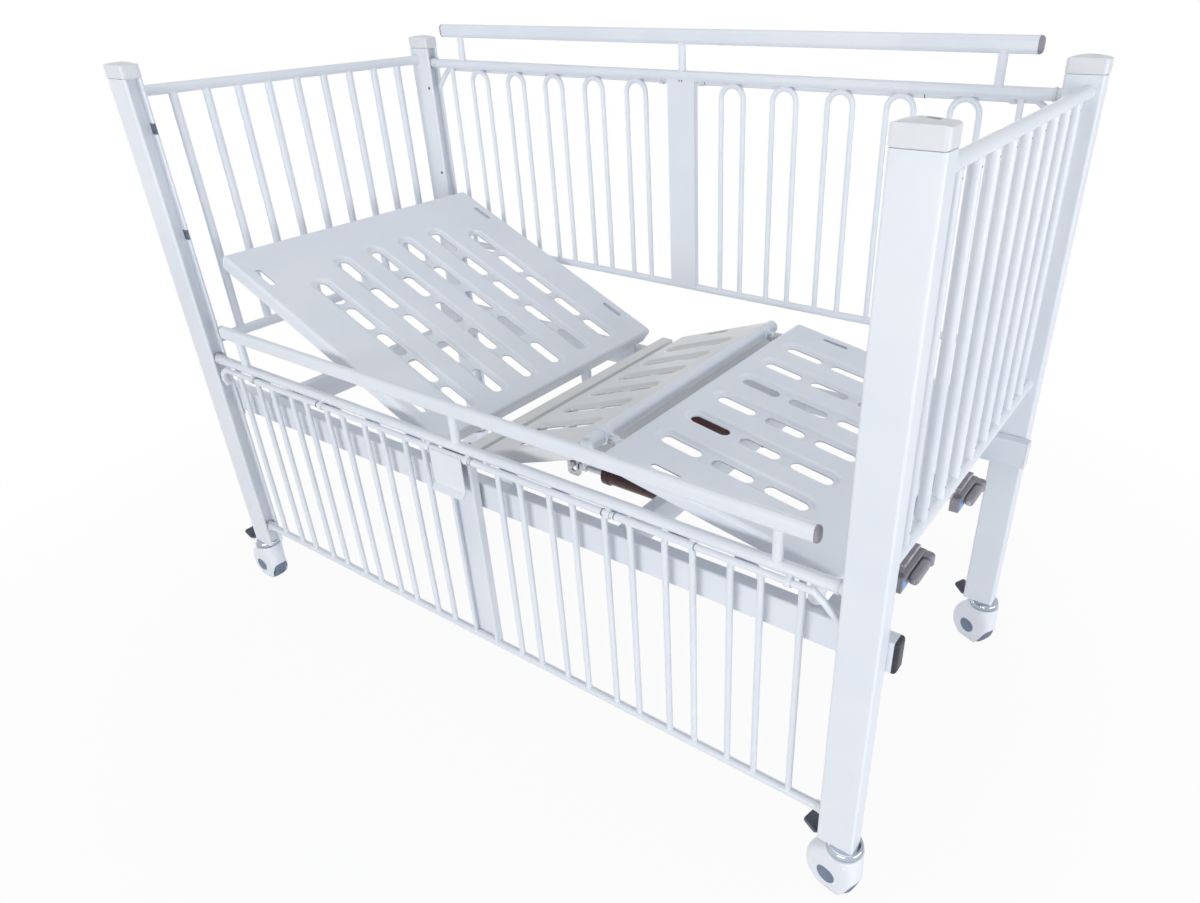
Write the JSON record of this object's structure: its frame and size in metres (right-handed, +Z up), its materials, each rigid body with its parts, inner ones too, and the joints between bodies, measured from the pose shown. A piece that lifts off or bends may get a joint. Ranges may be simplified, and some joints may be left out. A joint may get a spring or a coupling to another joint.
{
  "type": "pediatric hospital cot",
  "caption": "White tubular hospital cot on castors with barred ends, drop sides, and a slotted deck whose back and knee sections are raised by folding hand cranks.",
  "frame": {"origin": "on the floor, midway between the four corner posts", "axes": "+X to the foot end with the cranks, +Y to the raised side, +Z up"},
  "size_m": [1.8575, 0.8953, 1.3465],
  "materials": {
    "powder_coat": "cool white powder coat, satin",
    "cap_plastic": "neutral white moulding",
    "zinc": "bright zinc plate",
    "chrome": "polished ring",
    "black_plastic": "moulded black",
    "slate_rubber": "slate grey tread and hub",
    "mauve_plastic": "grey plug",
    "taupe_plastic": "taupe grey moulding",
    "maroon_paint": "dark maroon paint",
    "hood_plastic": "white castor shell"
  },
  "bodies": {
    "frame": {"back_screw_sleeve": "maroon_paint", "beam_plug_foot_far": "black_plastic", "beam_plug_foot_near": "black_plastic", "beam_plug_head_far": "black_plastic", "beam_plug_head_near": "black_plastic", "castor_stem_foot_far": "chrome", "castor_stem_foot_near": "chrome", "castor_stem_head_far": "chrome", "castor_stem_head_near": "chrome", "cross_tube_foot": "powder_coat", "cross_tube_head": "powder_coat", "cross_tube_mid": "powder_coat", "end_panel_foot": "powder_coat", "end_panel_head": "powder_coat", "knee_screw_sleeve": "maroon_paint", "post_cap_foot_far": "cap_plastic", "post_cap_foot_near": "cap_plastic", "post_cap_head_far": "cap_plastic", "post_cap_head_near": "cap_plastic", "post_foot_far": "powder_coat", "post_foot_near": "powder_coat", "post_head_far": "powder_coat", "post_head_near": "powder_coat", "seat_strip": "powder_coat", "side_beam_far": "powder_coat", "side_beam_near": "powder_coat"},
    "near_rail": {"near_rail": "powder_coat", "near_grab_plug_a": "mauve_plastic", "near_grab_plug_b": "mauve_plastic"},
    "far_rail": {"far_rail": "powder_coat", "far_grab_plug_a": "mauve_plastic", "far_grab_plug_b": "mauve_plastic"},
    "near_latch": {"near_latch": "powder_coat"},
    "far_latch": {"far_latch": "powder_coat"},
    "back": {"back_section": "powder_coat"},
    "thigh": {"thigh_section": "powder_coat", "knee_tube": "powder_coat"},
    "leg": {"leg_section": "powder_coat"},
    "back_push": {"back_push_tube": "zinc"},
    "knee_push": {"knee_push_tube": "zinc"},
    "back_crank": {"back_crank_shaft": "zinc", "back_crank_arm": "taupe_plastic"},
    "knee_crank": {"knee_crank_shaft": "zinc", "knee_crank_arm": "taupe_plastic"},
    "back_grip": {"back_crank_grip": "taupe_plastic"},
    "knee_grip": {"knee_crank_grip": "taupe_plastic"},
    "swivel_head_near": {"castor_hood_head_near": "hood_plastic"},
    "wheel_head_near": {"castor_wheel_head_near": "slate_rubber"},
    "pedal_head_near": {"castor_pedal_head_near": "black_plastic"},
    "swivel_head_far": {"castor_hood_head_far": "hood_plastic"},
    "wheel_head_far": {"castor_wheel_head_far": "slate_rubber"},
    "pedal_head_far": {"castor_pedal_head_far": "black_plastic"},
    "swivel_foot_near": {"castor_hood_foot_near": "hood_plastic"},
    "wheel_foot_near": {"castor_wheel_foot_near": "slate_rubber"},
    "pedal_foot_near": {"castor_pedal_foot_near": "black_plastic"},
    "swivel_foot_far": {"castor_hood_foot_far": "hood_plastic"},
    "wheel_foot_far": {"castor_wheel_foot_far": "slate_rubber"},
    "pedal_foot_far": {"castor_pedal_foot_far": "black_plastic"}
  },
  "joints": [
    {"name": "near_rail_slide", "type": "slide", "parent": "frame", "child": "near_rail", "axis": [0, 0, 1], "range_m": [0, 0.58]},
    {"name": "far_rail_slide", "type": "slide", "parent": "frame", "child": "far_rail", "axis": [0, 0, 1], "range_m": [-0.58, 0]},
    {"name": "near_latch_turn", "type": "hinge", "parent": "near_rail", "child": "near_latch", "pos_m": [0, -0.415, 0.659], "axis": [-1, 0, 0], "range_deg": [0, 25]},
    {"name": "far_latch_turn", "type": "hinge", "parent": "far_rail", "child": "far_latch", "pos_m": [0, 0.415, 1.239], "axis": [1, 0, 0], "range_deg": [0, 25]},
    {"name": "back_tilt", "type": "hinge", "parent": "frame", "child": "back", "pos_m": [-0.145, 0, 0.621], "axis": [0, 1, 0], "range_deg": [-24, 41]},
    {"name": "thigh_tilt", "type": "hinge", "parent": "frame", "child": "thigh", "pos_m": [0.0725, 0, 0.621], "axis": [0, -1, 0], "range_deg": [-19.7, 8.3]},
    {"name": "leg_fold", "type": "hinge", "parent": "thigh", "child": "leg", "pos_m": [0.30933, 0, 0.72492], "axis": [0, 1, 0], "range_deg": [-30.8, 13]},
    {"name": "back_push_slide", "type": "slide", "parent": "frame", "child": "back_push", "axis": [-1, 0, 0], "range_m": [-0.033, 0.056]},
    {"name": "knee_push_slide", "type": "slide", "parent": "frame", "child": "knee_push", "axis": [1, 0, 0], "range_m": [-0.028, 0.012]},
    {"name": "back_crank_turn", "type": "hinge", "parent": "frame", "child": "back_crank", "pos_m": [0.811, 0.15, 0.54], "axis": [1, 0, 0], "continuous": true},
    {"name": "knee_crank_turn", "type": "hinge", "parent": "frame", "child": "knee_crank", "pos_m": [0.811, -0.15, 0.54], "axis": [1, 0, 0], "continuous": true},
    {"name": "back_grip_fold", "type": "hinge", "parent": "back_crank", "child": "back_grip", "pos_m": [0.841, 0.219, 0.54], "axis": [0, 0, 1], "range_deg": [0, 90]},
    {"name": "knee_grip_fold", "type": "hinge", "parent": "knee_crank", "child": "knee_grip", "pos_m": [0.841, -0.081, 0.54], "axis": [0, 0, 1], "range_deg": [0, 90]},
    {"name": "swivel_head_near", "type": "hinge", "parent": "frame", "child": "swivel_head_near", "pos_m": [-0.862, -0.4, 0.1], "axis": [0, 0, 1], "continuous": true},
    {"name": "roll_head_near", "type": "hinge", "parent": "swivel_head_near", "child": "wheel_head_near", "pos_m": [-0.88, -0.4, 0.05], "axis": [0, 1, 0], "continuous": true},
    {"name": "brake_head_near", "type": "hinge", "parent": "swivel_head_near", "child": "pedal_head_near", "pos_m": [-0.909, -0.4, 0.1145], "axis": [0, -1, 0], "range_deg": [0, 25]},
    {"name": "swivel_head_far", "type": "hinge", "parent": "frame", "child": "swivel_head_far", "pos_m": [-0.862, 0.4, 0.1], "axis": [0, 0, 1], "continuous": true},
    {"name": "roll_head_far", "type": "hinge", "parent": "swivel_head_far", "child": "wheel_head_far", "pos_m": [-0.88, 0.4, 0.05], "axis": [0, 1, 0], "continuous": true},
    {"name": "brake_head_far", "type": "hinge", "parent": "swivel_head_far", "child": "pedal_head_far", "pos_m": [-0.909, 0.4, 0.1145], "axis": [0, -1, 0], "range_deg": [0, 25]},
    {"name": "swivel_foot_near", "type": "hinge", "parent": "frame", "child": "swivel_foot_near", "pos_m": [0.862, -0.4, 0.1], "axis": [0, 0, 1], "continuous": true},
    {"name": "roll_foot_near", "type": "hinge", "parent": "swivel_foot_near", "child": "wheel_foot_near", "pos_m": [0.84439, -0.39626, 0.05], "axis": [0.2079, 0.9781, 0], "continuous": true},
    {"name": "brake_foot_near", "type": "hinge", "parent": "swivel_foot_near", "child": "pedal_foot_near", "pos_m": [0.81603, -0.39023, 0.1145], "axis": [-0.2079, -0.9781, 0], "range_deg": [0, 25]},
    {"name": "swivel_foot_far", "type": "hinge", "parent": "frame", "child": "swivel_foot_far", "pos_m": [0.862, 0.4, 0.1], "axis": [0, 0, 1], "continuous": true},
    {"name": "roll_foot_far", "type": "hinge", "parent": "swivel_foot_far", "child": "wheel_foot_far", "pos_m": [0.84569, 0.40761, 0.05], "axis": [0.4226, 0.9063, 0], "continuous": true},
    {"name": "brake_foot_far", "type": "hinge", "parent": "swivel_foot_far", "child": "pedal_foot_far", "pos_m": [0.8194, 0.41986, 0.1145], "axis": [-0.4226, -0.9063, 0], "range_deg": [0, 25]}
  ],
  "couplings": [
    {"joint": "leg_fold", "follows": "thigh_tilt", "ratio": 1.56},
    {"joint": "knee_push_slide", "follows": "thigh_tilt", "m_per_rad": 0.0792},
    {"joint": "knee_crank_turn", "follows": "thigh_tilt", "ratio": 62.2},
    {"joint": "back_push_slide", "follows": "back_tilt", "m_per_rad": 0.0768},
    {"joint": "back_crank_turn", "follows": "back_tilt", "ratio": 60.3}
  ]
}
